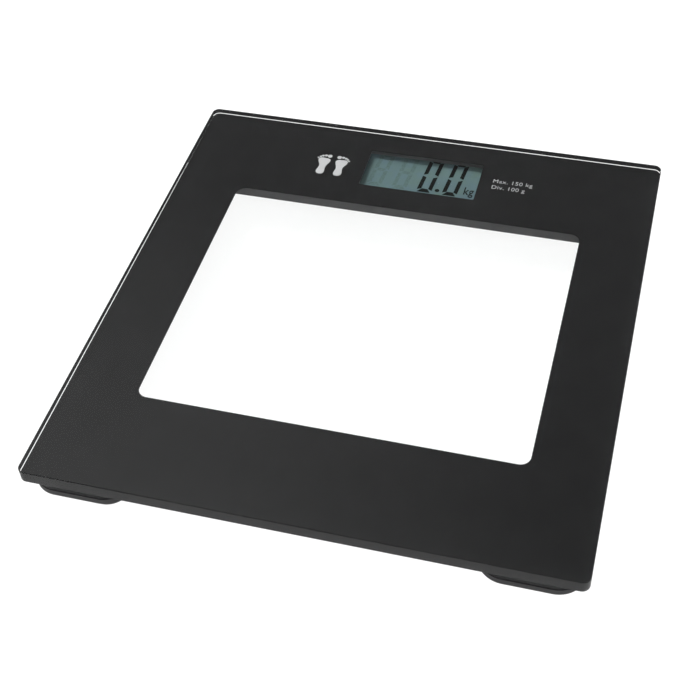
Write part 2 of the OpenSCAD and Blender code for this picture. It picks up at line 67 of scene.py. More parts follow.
class SCALE_PG_sizes(bpy.types.PropertyGroup):
    """Sizes of the details that the frame doesn't hold."""

    bevel: bpy.props.FloatProperty(
        name="Glass bevel",
        description="Width of the ground bevel along the glass's edges",
        default=0.4 * MM, min=0.2 * MM, max=1.2 * MM, unit="LENGTH",
    )
    ink_height: bpy.props.FloatProperty(
        name="Ink height",
        description="Thickness of the light ink of the legends and of the display's bars",
        default=0.08 * MM, unit="LENGTH",
    )
    bond: bpy.props.FloatProperty(
        name="Bond",
        description="Depth of the baked print in the glass",
        default=0.1 * MM, unit="LENGTH",
    )
    legend_cap: bpy.props.FloatProperty(
        name="Legend size",
        description="Text size of the two-line legend",
        default=4.8 * MM, unit="LENGTH",
    )
    digit_height: bpy.props.FloatProperty(
        name="Digit height",
        description="Height of a display digit between its bars' centre lines",
        default=29.5 * MM, unit="LENGTH",
    )
    digit_width: bpy.props.FloatProperty(
        name="Digit width",
        description="Width of a display digit between its strokes' centre lines",
        default=7 * MM, unit="LENGTH",
    )
    digit_stroke: bpy.props.FloatProperty(
        name="Stroke",
        description="Width of a display segment",
        default=2.6 * MM, unit="LENGTH",
    )
    digit_pitch: bpy.props.FloatProperty(
        name="Digit pitch",
        description="Distance from one digit to the next",
        default=16.4 * MM, unit="LENGTH",
    )
    digit_slant: bpy.props.FloatProperty(
        name="Digit slant",
        description="Lean of the digits to the right",
        default=math.radians(4.6), subtype="ANGLE",
    )
    dimple_radius: bpy.props.FloatProperty(
        name="Dimple radius",
        description="Radius of the small grips under a rubber pad",
        default=0.55 * MM, unit="LENGTH",
    )
    dimple_pitch: bpy.props.FloatProperty(
        name="Dimple pitch",
        description="Distance between the small grips under a rubber pad",
        default=2.2 * MM, unit="LENGTH",
    )


class SCALE_PG_colours(bpy.types.PropertyGroup):
    """Colours of the finishes."""

    print_black: bpy.props.FloatVectorProperty(
        name="Print", description="Black of the baked print", subtype="COLOR",
        size=3, min=0, max=1, default=(0.0116, 0.0116, 0.0119),
    )
    ink: bpy.props.FloatVectorProperty(
        name="Ink", description="Light ink of the legends", subtype="COLOR",
        size=3, min=0, max=1, default=(0.3, 0.3, 0.305),
    )
    housing: bpy.props.FloatVectorProperty(
        name="Housing", description="Plastic of the rear housing and display frame", subtype="COLOR",
        size=3, min=0, max=1, default=(0.078, 0.078, 0.08),
    )
    mount: bpy.props.FloatVectorProperty(
        name="Mounts", description="Plastic of the foot mounts and lead channels", subtype="COLOR",
        size=3, min=0, max=1, default=(0.028, 0.028, 0.029),
    )
    cover: bpy.props.FloatVectorProperty(
        name="Cover", description="Plastic of the electronics cover and battery door", subtype="COLOR",
        size=3, min=0, max=1, default=(0.062, 0.062, 0.065),
    )
    feet: bpy.props.FloatVectorProperty(
        name="Feet", description="Plastic of the foot caps", subtype="COLOR",
        size=3, min=0, max=1, default=(0.08, 0.08, 0.082),
    )
    lcd: bpy.props.FloatVectorProperty(
        name="Display", description="Grey-green of the display film", subtype="COLOR",
        size=3, min=0, max=1, default=(0.056, 0.087, 0.087),
    )


class SCALE_PG_studio(bpy.types.PropertyGroup):
    """Camera and lights."""

    azimuth: bpy.props.FloatProperty(
        name="Azimuth", description="Camera's turn to the right of the front", subtype="ANGLE",
        default=math.radians(17.71),
    )
    elevation: bpy.props.FloatProperty(
        name="Elevation", description="Camera's height above the horizon", subtype="ANGLE",
        default=math.radians(46.79),
    )
    roll: bpy.props.FloatProperty(
        name="Roll", description="Camera's roll", subtype="ANGLE", default=math.radians(-3.66),
    )
    distance: bpy.props.FloatProperty(
        name="Distance", description="Camera's distance from the platform", unit="LENGTH",
        default=0.7716,
    )
    slide: bpy.props.FloatVectorProperty(
        name="Slide", description="Camera's slide to the right and up, across its view",
        subtype="TRANSLATION", size=2, default=(-0.01154, -0.02109),
    )
    lens: bpy.props.FloatProperty(
        name="Lens", description="Focal length in millimetres on a 36 mm sensor", default=68.2,
    )
    sky: bpy.props.FloatProperty(
        name="Sky", description="Brightness of the soft studio dome", default=0.33,
    )
    mirrored: bpy.props.FloatProperty(
        name="Mirrored sky", description="Share of the dome's even light that polished faces mirror",
        default=0.25, min=0, max=1,
    )
    glow: bpy.props.FloatProperty(
        name="Glow", description="Extra brightness of the dome, high on the left behind the scale",
        default=0.6,
    )
    glare: bpy.props.FloatProperty(
        name="Floor glow", description="Own light of the floor where it is seen", default=1.03,
    )
    bounce: bpy.props.FloatProperty(
        name="Floor bounce", description="Own light of the floor that reaches the scale", default=0.42,
    )
    key: bpy.props.FloatProperty(
        name="Key light", description="Power of the low light behind the display band",
        default=120, subtype="POWER",
    )
    fill: bpy.props.FloatProperty(
        name="Fill light", description="Power of the soft light overhead", default=14, subtype="POWER",
    )


def sizes():
    return bpy.context.scene.scale_sizes


def colours():
    return bpy.context.scene.scale_colours


def studio():
    return bpy.context.scene.scale_studio


# ---------------------------------------------------------------- places in the frame


def span(node):
    """(lowest corner, highest corner, middle) of a CAD node."""
    low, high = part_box(node)
    return low, high, (low + high) / 2


def corner_radius(node):
    """Plan radius of a node's outer corners: where its straight right side ends."""
    low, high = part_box(node)
    side = [v.co.y for v in frame["nodes"][node].data.vertices if high.x - v.co.x < 0.01 * MM]
    return high.y - max(side)


def top_of(node):
    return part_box(node)[1].z


# ---------------------------------------------------------------- node materials


class Finish:
    """A node material under construction, with short calls for the patterns it is made of."""

    def __init__(self, name, roughness=0.5, **sockets):
        self.material = bpy.data.materials.new(name)
        self.material.use_nodes = True
        self.nodes = self.material.node_tree.nodes
        self.links = self.material.node_tree.links
        self.shader = self.nodes["Principled BSDF"]
        self.shader.inputs["Roughness"].default_value = roughness
        for socket, value in sockets.items():
            self.shader.inputs[socket.replace("_", " ")].default_value = value
        self.place = self.nodes.new("ShaderNodeTexCoord").outputs["Object"]

    def node(self, kind, links=None, **values):
        """A new node with its properties or inputs set by name."""
        made = self.nodes.new(kind)
        for key, value in values.items():
            if key in made.bl_rna.properties:
                setattr(made, key, value)
            else:
                made.inputs[key.replace("_", " ")].default_value = value
        for key, source in (links or {}).items():
            self.links.new(source, made.inputs[key])
        return made

    def noise(self, scale, detail=3.0, roughness=0.55, stretch=(1, 1, 1)):
        """Noise on object coordinates; scale is in features per metre."""
        mapping = self.node("ShaderNodeMapping", {"Vector": self.place})
        mapping.inputs["Scale"].default_value = stretch
        texture = self.node(
            "ShaderNodeTexNoise", {"Vector": mapping.outputs["Vector"]},
            Scale=scale, Detail=detail, Roughness=roughness,
        )
        return texture.outputs["Fac"]

    def ranged(self, source, low, high, start=0.3, end=0.7):
        """source, with start to end spread over low to high."""
        made = self.node("ShaderNodeMapRange", {"Value": source})
        for socket, value in (("From Min", start), ("From Max", end), ("To Min", low), ("To Max", high)):
            made.inputs[socket].default_value = value
        return made.outputs["Result"]

    def blend(self, factor, first, second):
        """Colour between two colours or sockets."""
        made = self.node("ShaderNodeMix", data_type="RGBA")
        self.links.new(factor, made.inputs[0])
        for socket, colour in ((made.inputs[6], first), (made.inputs[7], second)):
            if isinstance(colour, bpy.types.NodeSocket):
                self.links.new(colour, socket)
            else:
                socket.default_value = (*colour, 1)
        return made.outputs[2]

    def colour(self, source):
        self.links.new(source, self.shader.inputs["Base Color"])

    def roughness(self, source):
        self.links.new(source, self.shader.inputs["Roughness"])

    def bump(self, source, height, strength=1.0):
        """Bump of the given height in metres."""
        made = self.node("ShaderNodeBump", {"Height": source}, Distance=height, Strength=strength)
        if self.shader.inputs["Normal"].is_linked:
            self.links.new(self.shader.inputs["Normal"].links[0].from_socket, made.inputs["Normal"])
        self.links.new(made.outputs["Normal"], self.shader.inputs["Normal"])

    def low_rim_scuff_and_light(self, below, fade):
        """1 at and under a height, falling to 0 over fade: the lower rim, which rubs on the floor and is also
        painted lighter as if lit by the floor below.
        """
        parts = self.node("ShaderNodeSeparateXYZ", {"Vector": self.place})
        return self.ranged(parts.outputs["Z"], 1, 0, below, below + fade)


def tone(colour, factor):
    return tuple(min(1, c * factor) for c in colour)


def moulded_plastic(name, colour, roughness=0.52, grain=2600, scuffed_and_lit_below=None):
    """Spark-textured moulding: fine grain, cloudy tone, and lighter in patches near the floor: scuffs, and
    painted light on the lower rim.
    """
    finish = Finish(name, roughness)
    cloud = finish.noise(45)
    base = finish.blend(finish.ranged(cloud, 0, 1), tone(colour, 0.86), tone(colour, 1.16))
    if scuffed_and_lit_below is not None:
        scuff_light_patches = finish.noise(700, 5, 0.7, (1, 1, 6))
        scuffed_and_lit = finish.node("ShaderNodeMath", operation="MULTIPLY")
        finish.links.new(finish.low_rim_scuff_and_light(scuffed_and_lit_below, 0.0012), scuffed_and_lit.inputs[0])
        finish.links.new(finish.ranged(scuff_light_patches, 0, 0.55, 0.45, 0.7), scuffed_and_lit.inputs[1])
        # lighter lower rim in patches: scuffs, and painted light from the floor below
        base = finish.blend(scuffed_and_lit.outputs[0], base, tone(colour, 2.0))
    finish.colour(base)
    finish.roughness(finish.ranged(finish.noise(160), roughness - 0.07, roughness + 0.09))
    finish.bump(finish.noise(grain, 2), 0.00004, 0.6)
    return finish.material


def polished_glass():
    """Clear toughened glass with a trace of wiping marks; shadow rays pass straight through it."""
    finish = Finish("polished_glass", 0.0, IOR=1.52)
    finish.shader.inputs["Transmission Weight"].default_value = 1
    smear = finish.noise(22, 4, 0.6, (1, 3, 1))
    finish.colour(finish.blend(finish.ranged(smear, 0, 1), (0.985, 0.995, 0.99), (0.995, 1.0, 0.998)))
    finish.roughness(finish.ranged(finish.noise(60, 5, 0.7), 0.0, 0.018, 0.45, 0.85))
    clear = finish.node("ShaderNodeBsdfTransparent")
    clear.inputs["Color"].default_value = (0.93, 0.95, 0.94, 1)
    path = finish.node("ShaderNodeLightPath")
    mix = finish.node("ShaderNodeMixShader", {
        "Fac": path.outputs["Is Shadow Ray"],
    })
    finish.links.new(finish.shader.outputs[0], mix.inputs[1])
    finish.links.new(clear.outputs[0], mix.inputs[2])
    finish.links.new(mix.outputs[0], finish.nodes["Material Output"].inputs["Surface"])
    return finish.material


def baked_print(colour):
    """Baked enamel seen through the glass: nearly even black with faint clouds."""
    finish = Finish("baked_print", 0.6, Specular_IOR_Level=0.0)
    cloud = finish.noise(60, 3)
    finish.colour(finish.blend(finish.ranged(cloud, 0, 1), tone(colour, 0.92), tone(colour, 1.1)))
    finish.roughness(finish.ranged(finish.noise(120), 0.5, 0.7))
    return finish.material


def light_ink(colour):
    """Pale ink with a slightly uneven coat."""
    finish = Finish("light_ink", 0.5)
    coat = finish.noise(2500, 3)
    finish.colour(finish.blend(finish.ranged(coat, 0, 1), tone(colour, 0.86), tone(colour, 1.06)))
    finish.roughness(finish.ranged(finish.noise(900), 0.42, 0.6))
    return finish.material


def display_film(colour):
    """Front film of the panel: grey-green with faint clouds of green and blue."""
    finish = Finish("display_film", 0.6, Specular_IOR_Level=0.0)
    cool = (colour[0] * 0.98, colour[1] * 0.96, colour[2] * 1.16)
    warm = (colour[0] * 1.06, colour[1] * 1.03, colour[2] * 0.93)
    clouds = finish.blend(finish.ranged(finish.noise(95, 2), 0, 1), cool, warm)
    finish.colour(finish.blend(finish.ranged(finish.noise(2600, 2), 0, 0.35), clouds, tone(colour, 1.2)))
    finish.roughness(finish.ranged(finish.noise(400), 0.5, 0.7))
    return finish.material


def display_segment(name, colour, roughness=0.5, gloss=0.0):
    """Smooth, slightly uneven coat: display bars, the panel's edge and the cast chip."""
    finish = Finish(name, roughness, Specular_IOR_Level=gloss)
    patch = finish.noise(900, 2)
    finish.colour(finish.blend(finish.ranged(patch, 0, 1), tone(colour, 0.8), tone(colour, 1.15)))
    finish.roughness(finish.ranged(finish.noise(500), roughness - 0.05, roughness + 0.08))
    return finish.material


def rubber(name, colour):
    """Matt rubber with a dusty bloom."""
    finish = Finish(name, 0.85, Specular_IOR_Level=0.3)
    bloom = finish.noise(220, 5, 0.7)
    finish.colour(finish.blend(finish.ranged(bloom, 0, 0.6), colour, tone(colour, 1.9)))
    finish.roughness(finish.ranged(finish.noise(300), 0.78, 0.95))
    finish.bump(finish.noise(3500, 2), 0.00003, 0.7)
    return finish.material


def foam(name, colour):
    """Closed-cell foam tape: small pores, bumped in, with painted shade darkening their hollows."""
    finish = Finish(name, 0.9)
    pores = finish.node("ShaderNodeTexVoronoi", {"Vector": finish.place}, Scale=2400)
    depth = pores.outputs["Distance"]
    # painted shade: darker towards the bottom of each pore's hollow
    finish.colour(finish.blend(finish.ranged(depth, 0, 1, 0.1, 0.6), tone(colour, 0.5), tone(colour, 1.3)))
    finish.roughness(finish.ranged(finish.noise(500), 0.82, 0.96))
    finish.bump(depth, 0.00008, 0.8)
    return finish.material


def metal(name, colour, roughness, lines=(1, 1, 1), stain=None):
    """Plated or brushed metal, with grain along one direction and faint stains."""
    finish = Finish(name, roughness, Metallic=1.0)
    grain = finish.noise(1500, 3, 0.6, lines)
    base = finish.blend(finish.ranged(grain, 0, 1), tone(colour, 0.85), tone(colour, 1.08))
    finish.colour(finish.blend(finish.ranged(finish.noise(130, 4), 0, 0.5, 0.5, 0.8), base,
                               stain or tone(colour, 0.6)))
    finish.roughness(finish.ranged(finish.noise(260, 4), roughness - 0.08, roughness + 0.14))
    finish.bump(grain, 0.000012, 0.5)
    return finish.material


def solder_mask(name, colour):
    """Board lacquer over faint copper tracks."""
    finish = Finish(name, 0.35, Coat_Weight=0.3)
    tracks = finish.node("ShaderNodeTexBrick", {"Vector": finish.place}, Scale=260)
    tracks.inputs["Color1"].default_value = (*colour, 1)
    tracks.inputs["Color2"].default_value = (*tone(colour, 1.25), 1)
    tracks.inputs["Mortar"].default_value = (*tone(colour, 2.2), 1)
    tracks.inputs["Mortar Size"].default_value = 0.06
    finish.colour(finish.blend(finish.ranged(finish.noise(300), 0, 0.4), tracks.outputs["Color"],
                               tone(colour, 0.7)))
    finish.roughness(finish.ranged(finish.noise(500), 0.28, 0.45))
    finish.bump(tracks.outputs["Fac"], 0.00003, 0.4)
    return finish.material


def insulation(name, colour):
    """Extruded lead insulation, with a soft sheen and faint draw marks."""
    finish = Finish(name, 0.45)
    marks = finish.noise(600, 2, 0.5, (1, 1, 8))
    finish.colour(finish.blend(finish.ranged(marks, 0, 1), tone(colour, 0.8), tone(colour, 1.15)))
    finish.roughness(finish.ranged(finish.noise(400), 0.38, 0.55))
    finish.bump(marks, 0.00001, 0.4)
    return finish.material


def slot_finishes():
    """One finish for each material slot of the record."""
    c = colours()
    return {
        "clear_glass": polished_glass(),
        "black_print": baked_print(c.print_black),
        "foam_tape": foam("foam_tape", (0.03, 0.03, 0.031)),
        "housing_plastic": moulded_plastic("housing_plastic", c.housing),
        "mount_plastic": moulded_plastic("mount_plastic", c.mount, 0.6),
        "cover_plastic": moulded_plastic("cover_plastic", c.cover, 0.48, 2000),
        "foot_plastic": moulded_plastic(
            "foot_plastic", c.feet, 0.5, 2200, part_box("foot_cap_front_left")[0].z,
        ),
        "pad_rubber": rubber("pad_rubber", (0.035, 0.035, 0.036)),
        "screw_steel": metal("screw_steel", (0.62, 0.62, 0.63), 0.32),
        "cell_steel": metal("cell_steel", (0.72, 0.72, 0.71), 0.28, (1, 14, 1)),
        "contact_brass": metal("contact_brass", (0.75, 0.62, 0.33), 0.3, (1, 9, 1), (0.4, 0.26, 0.1)),
        "lead_insulation": insulation("lead_insulation", (0.35, 0.03, 0.025)),
        "lcd_glass": display_segment("lcd_edge", (0.34, 0.42, 0.4), 0.15, 0.5),
        "lcd_film": display_film(c.lcd),
        "lcd_silver": metal("lcd_silver", (0.6, 0.62, 0.61), 0.55),
        "zebra_rubber": rubber("zebra_rubber", (0.5, 0.2, 0.25)),
        "board_green": solder_mask("board_green", (0.02, 0.12, 0.05)),
        "chip_black": display_segment("chip_black", (0.012, 0.012, 0.012), 0.25, 0.5),
        "component_body": insulation("component_body", (0.22, 0.14, 0.08)),
        "cell_plate_steel": metal("cell_plate_steel", (0.6, 0.6, 0.6), 0.36, (12, 1, 1)),
        "gauge_film": insulation("gauge_film", (0.5, 0.36, 0.1)),
    }


# ---------------------------------------------------------------- mesh helpers


def add_object(name, mesh, material, smooth=False):
    """Links a mesh as a piece with one material."""
    mesh.name = name
    mesh.materials.clear()
    mesh.materials.append(material)
    for face in mesh.polygons:
        face.material_index = 0
        face.use_smooth = smooth
    piece = bpy.data.objects.new(name, mesh)
    bpy.context.scene.collection.objects.link(piece)
    return piece


def finish_piece(piece, body, slot=None, *nodes):
    """Attaches a finished piece to its body and hides the CAD nodes it replaces; the slot argument is not
    used, and ink has none.
    """
    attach(piece, body)
    if nodes:
        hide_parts(*nodes)
    return piece


def rounded_points(width, depth, radius, steps=12):
    """Points of a rounded rectangle round the origin, anticlockwise."""
    points = []
    for quarter in range(4):
        sx, sy = ((1, 1), (-1, 1), (-1, -1), (1, -1))[quarter]
        middle = Vector((sx * (width / 2 - radius), sy * (depth / 2 - radius)))
        for step in range(steps + 1):
            angle = math.radians(90 * (quarter + step / steps))
            points.append(middle + radius * Vector((math.cos(angle), math.sin(angle))))
    return points


def swept_slab(width, depth, radius, profile, middle, steps=16):
    """Closed slab whose side follows a profile of (inset, height) points, from bottom to top."""
    bm = bmesh.new()
    rings = []
    for inset, height in profile:
        ring = [
            bm.verts.new((middle.x + p.x, middle.y + p.y, height))
            for p in rounded_points(width - 2 * inset, depth - 2 * inset, radius - inset, steps)
        ]
        rings.append(ring)
    count = len(rings[0])
    for low, high in zip(rings, rings[1:]):
        for i in range(count):
            j = (i + 1) % count
            bm.faces.new((low[i], low[j], high[j], high[i]))
    bm.faces.new(reversed(rings[0]))
    bm.faces.new(rings[-1])
    mesh = bpy.data.meshes.new("slab")
    bm.to_mesh(mesh)
    bm.free()
    return mesh


def bevel_profile(low, high, bevel, arc=0.25, steps=4):
    """Side profile of a slab with a flat bevel and slightly rounded arrises at both edges."""
    soft = bevel * arc
    half = []
    for step in range(steps + 1):
        turn = step / steps
        half.append((bevel + soft * (1 - turn) ** 2, low + soft * turn * 0.35))
    for step in range(steps + 1):
        turn = step / steps
        half.append((soft * (1 - turn) ** 2 * 0.35, low + bevel + soft * turn))
    mirrored = [(inset, high + low - height) for inset, height in reversed(half)]
    return half + mirrored


def flat_shape(name, outlines, low, height, material):
    """Thin closed plate from flat outlines, where an outline inside another is a hole."""
    curve = bpy.data.curves.new(name, "CURVE")
    curve.dimensions = "2D"
    curve.fill_mode = "BOTH"
    curve.extrude = height / 2
    for outline in outlines:
        spline = curve.splines.new("POLY")
        spline.points.add(len(outline) - 1)
        for point, place in zip(spline.points, outline):
            point.co = (place[0], place[1], 0, 1)
        spline.use_cyclic_u = True
    return curve_to_piece(name, curve, Matrix.Translation((0, 0, low + height / 2)), material)


def curve_to_piece(name, curve, place, material):
    """Turns a curve or text into a plain closed mesh at its place."""
    holder = bpy.data.objects.new(name + "_curve", curve)
    bpy.context.scene.collection.objects.link(holder)
    bpy.context.view_layer.update()
    mesh = bpy.data.meshes.new_from_object(holder.evaluated_get(bpy.context.evaluated_depsgraph_get()))
    bpy.data.objects.remove(holder)
    bpy.data.curves.remove(curve)
    mesh.transform(place)
    bm = bmesh.new()
    bm.from_mesh(mesh)
    bmesh.ops.remove_doubles(bm, verts=bm.verts, dist=1e-7)
    bmesh.ops.recalc_face_normals(bm, faces=bm.faces)
    bm.to_mesh(mesh)
    bm.free()
    return add_object(name, mesh, material)


def shifted(points, x, y):
    return [(p[0] + x, p[1] + y) for p in points]


# ---------------------------------------------------------------- Geometry Nodes helpers


class Tree:
    """A Geometry Nodes tree with named inputs."""

    def __init__(self, name, **inputs):
        self.group = bpy.data.node_groups.new(name, "GeometryNodeTree")
        face = self.group.interface
        face.new_socket("Geometry", in_out="OUTPUT", socket_type="NodeSocketGeometry")
        face.new_socket("Geometry", in_out="INPUT", socket_type="NodeSocketGeometry")
        self.sockets = {}
        for label, (kind, value) in inputs.items():
            made = face.new_socket(label, in_out="INPUT", socket_type="NodeSocket" + kind)
            made.default_value = value
            self.sockets[label] = made.identifier
        self.enter = self.group.nodes.new("NodeGroupInput")
        self.leave = self.group.nodes.new("NodeGroupOutput")

    def node(self, kind, links=None, **values):
        made = self.group.nodes.new(kind)
        for key, value in values.items():
            if key in made.bl_rna.properties:
                setattr(made, key, value)
            else:
                made.inputs[key.replace("_", " ")].default_value = value
        for key, source in (links or {}).items():
            self.group.links.new(source, made.inputs[key])
        return made

    def given(self, label):
        return self.enter.outputs[label]

    def end(self, geometry, material):
        """Closes the tree with real geometry and its material."""
        real = self.node("GeometryNodeRealizeInstances", {"Geometry": geometry})
        dressed = self.node("GeometryNodeSetMaterial", {"Geometry": real.outputs["Geometry"]})
        dressed.inputs["Material"].default_value = material
        self.group.links.new(dressed.outputs["Geometry"], self.leave.inputs["Geometry"])

    def apply(self, piece, **values):
        """Runs the tree on a piece and leaves the result as its plain mesh."""
        modifier = piece.modifiers.new(self.group.name, "NODES")
        modifier.node_group = self.group
        for label, value in values.items():
            modifier[self.sockets[label]] = value
        bpy.context.view_layer.update()
        solved = piece.evaluated_get(bpy.context.evaluated_depsgraph_get())
        mesh = bpy.data.meshes.new_from_object(solved)
        piece.modifiers.clear()
        piece.data = mesh
        return piece


def dimple_tree(material):
    """Adds a grid of small round grips under a pad."""
    tree = Tree(
        "pad_grips",
        Columns=("Int", 12), Rows=("Int", 8),
        Width=("Float", 0.03), Depth=("Float", 0.02),
        Radius=("Float", 0.0005), Height=("Float", 0.0003),
        Place=("Vector", (0, 0, 0)),
    )
    grid = tree.node("GeometryNodeMeshGrid", {
        "Size X": tree.given("Width"), "Size Y": tree.given("Depth"),
        "Vertices X": tree.given("Columns"), "Vertices Y": tree.given("Rows"),
    })
    dome = tree.node("GeometryNodeMeshCone", {
        "Radius Top": tree.node("ShaderNodeMath", {0: tree.given("Radius")}, operation="MULTIPLY").outputs[0],
        "Radius Bottom": tree.given("Radius"),
        "Depth": tree.given("Height"),
    })
    dome.inputs["Vertices"].default_value = 10
    dome.inputs["Radius Top"].links[0].from_node.inputs[1].default_value = 0.7
    flipped = tree.node("GeometryNodeTransform", {"Geometry": dome.outputs["Mesh"]})
    flipped.inputs["Rotation"].default_value = (math.pi, 0, 0)
    placed = tree.node("GeometryNodeInstanceOnPoints", {
        "Points": grid.outputs["Mesh"], "Instance": flipped.outputs["Geometry"],
    })
    moved = tree.node("GeometryNodeTransform", {
        "Geometry": placed.outputs["Instances"], "Translation": tree.given("Place"),
    })
    joined = tree.node("GeometryNodeJoinGeometry")
    tree.group.links.new(moved.outputs["Geometry"], joined.inputs["Geometry"])
    tree.group.links.new(tree.given("Geometry"), joined.inputs["Geometry"])
    tree.end(joined.outputs["Geometry"], material)
    return tree


# ---------------------------------------------------------------- pieces


def build_glass(finishes):
    low, high, middle = span("glass_platform")
    size = high - low
    profile = bevel_profile(low.z, high.z, sizes().bevel)
    mesh = swept_slab(size.x, size.y, corner_radius("glass_platform"), profile, middle, 20)
    piece = add_object("platform_glass", mesh, finishes["clear_glass"])
    finish_piece(piece, PLATFORM, "clear_glass", "glass_platform")


WINDOW_CORNERS = (6 * MM, 1 * MM)  # plan radii of the clear window and of the display window
WINDOW_RIM = 10 * MM


def window_edges(node):
    """Inner rectangles of the print, measured between its vertices' own coordinates."""
    points = [v.co for v in frame["nodes"][node].data.vertices]
    low, high, _ = span(node)
    inner = [p for p in points if low.x + WINDOW_RIM < p.x < high.x - WINDOW_RIM
             and low.y + WINDOW_RIM < p.y < high.y - WINDOW_RIM]
    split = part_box("display_gasket")[0].y
    clear = [p for p in inner if p.y < split]
    display = [p for p in inner if p.y >= split]
    return [
        (min(p.x for p in g), min(p.y for p in g), max(p.x for p in g), max(p.y for p in g))
        for g in (clear, display)
    ]


def build_print(finishes):
    low, high, middle = span("border_print")
    size = high - low
    radius = corner_radius("border_print")
    outlines = [shifted(rounded_points(size.x, size.y, radius, 16), middle.x, middle.y)]
    for (x0, y0, x1, y1), radius in zip(window_edges("border_print"), WINDOW_CORNERS):
        hole = rounded_points(x1 - x0, y1 - y0, radius, 10)
        outlines.append(shifted(hole, (x0 + x1) / 2, (y0 + y1) / 2))
    piece = flat_shape("print_border", outlines, low.z, high.z - low.z + sizes().bond,
                       finishes["black_print"])
    finish_piece(piece, PLATFORM, "black_print", "border_print")


def text_piece(name, body, size, left, base, low, height, material, narrow=1.0, bold=0.0):
    """Flat lettering from its left end and base line."""
    curve = bpy.data.curves.new(name, "FONT")
    curve.body = body
    curve.size = size
    curve.extrude = height / 2
    curve.offset = bold
    curve.space_character = 1.08
    place = Matrix.Translation((left, base, low + height / 2)) @ Matrix.Diagonal((narrow, 1, 1, 1))
    return curve_to_piece(name, curve, place, material)


SOLE = (
    (-0.02, -1.0), (0.16, -0.97), (0.27, -0.84), (0.29, -0.66), (0.24, -0.42), (0.22, -0.2),
    (0.28, 0.02), (0.38, 0.22), (0.42, 0.42), (0.36, 0.56), (0.2, 0.62), (0.0, 0.6),
    (-0.2, 0.58), (-0.34, 0.5), (-0.38, 0.34), (-0.32, 0.12), (-0.24, -0.1), (-0.2, -0.34),
    (-0.24, -0.6), (-0.24, -0.82), (-0.15, -0.96),
)
TOES = ((-0.24, 0.83, 0.15), (0.02, 0.86, 0.1), (0.21, 0.8, 0.085), (0.35, 0.7, 0.075), (0.47, 0.57, 0.065))


def smoothed(points, steps=4):
    """Closed curve through points."""
    ring = [Vector(p) for p in points]
    out = []
    for i in range(len(ring)):
        p0, p1, p2, p3 = (ring[(i + k) % len(ring)] for k in (-1, 0, 1, 2))
        for step in range(steps):
            t = step / steps
            out.append(0.5 * (2 * p1 + (p2 - p0) * t + (2 * p0 - 5 * p1 + 4 * p2 - p3) * t ** 2
                              + (3 * p1 - p0 - 3 * p2 + p3) * t ** 3))
    return out


def circle(x, y, radius, steps=24):
    turns = (2 * math.pi * i / steps for i in range(steps))
    return [(x + radius * math.cos(a), y + radius * math.sin(a)) for a in turns]


def footprint(x, y, scale, side):
    """Outlines of one bare footprint of half length scale; side is -1 for the left foot."""
    outlines = [[(x + side * scale * p.x, y + scale * p.y) for p in smoothed(SOLE)]]
    for toe_x, toe_y, radius in TOES:
        outlines.append(circle(x + side * scale * toe_x, y + scale * toe_y, scale * radius))
    return outlines


def build_legends(finishes):
    ink = light_ink(colours().ink)
    height = sizes().ink_height
    low = top_of("border_print") + sizes().bond
    x0, y0, x1, y1 = window_edges("border_print")[1]
    size = sizes().legend_cap
    legend_left = x1 + 8.5 * MM
    lines = (("legend_capacity", "Max. 150 kg", (y0 + y1) / 2 + 1.9 * MM),
             ("legend_division", "Div. 100 g", (y0 + y1) / 2 - 4.1 * MM))
    for name, body, base in lines:
        piece = text_piece(name, body, size, legend_left, base, low, height, ink)
        finish_piece(piece, PLATFORM)
    outlines = []
    emblem_x, emblem_y = x0 - 22 * MM, (y0 + y1) / 2 - 2.5 * MM
    for side in (-1, 1):
        outlines += footprint(emblem_x + side * 5.6 * MM, emblem_y, 10 * MM, side)
    piece = flat_shape("footprints_emblem", outlines, low, height, ink)
    finish_piece(piece, PLATFORM)


def digit_segments(x, y, lit):
    """Outlines of the lit bars of a seven-bar digit round (x, y), leaning to the right."""
    s = sizes()
    half_w, half_h, t = s.digit_width / 2, s.digit_height / 2, s.digit_stroke / 2
    gap = 0.35 * MM
    lean = math.tan(s.digit_slant)

    def flat(points):
        return [(x + px + lean * py, y + py) for px, py in points]

    def across(side):
        """A lying bar at the top (1) or bottom (-1), longer on its outer side."""
        outer, inner = half_w + t * 0.6, half_w - t * 1.3
        thick = t * 1.3
        return [(-outer, side * (half_h + thick)), (outer, side * (half_h + thick)),
                (inner, side * (half_h - thick)), (-inner, side * (half_h - thick))]

    def upright(side, y0, y1):
        """A standing bar with slanted ends."""
        return [(side * (half_w - t), y0 + t * 1.1), (side * (half_w + t), y0 + gap * 0.5),
                (side * (half_w + t), y1 - gap * 0.5), (side * (half_w - t), y1 - t * 1.1)]

    bars = {
        "a": across(1),
        "d": across(-1),
        "g": [(-half_w + t + gap, t), (half_w - t - gap, t), (half_w - gap, 0),
              (half_w - t - gap, -t), (-half_w + t + gap, -t), (-half_w + gap, 0)],
        "f": upright(-1, gap, half_h - gap),
        "b": upright(1, gap, half_h - gap),
        "e": upright(-1, -half_h + gap, -gap),
        "c": upright(1, -half_h + gap, -gap),
    }
    return [flat(bars[key]) for key in lit]


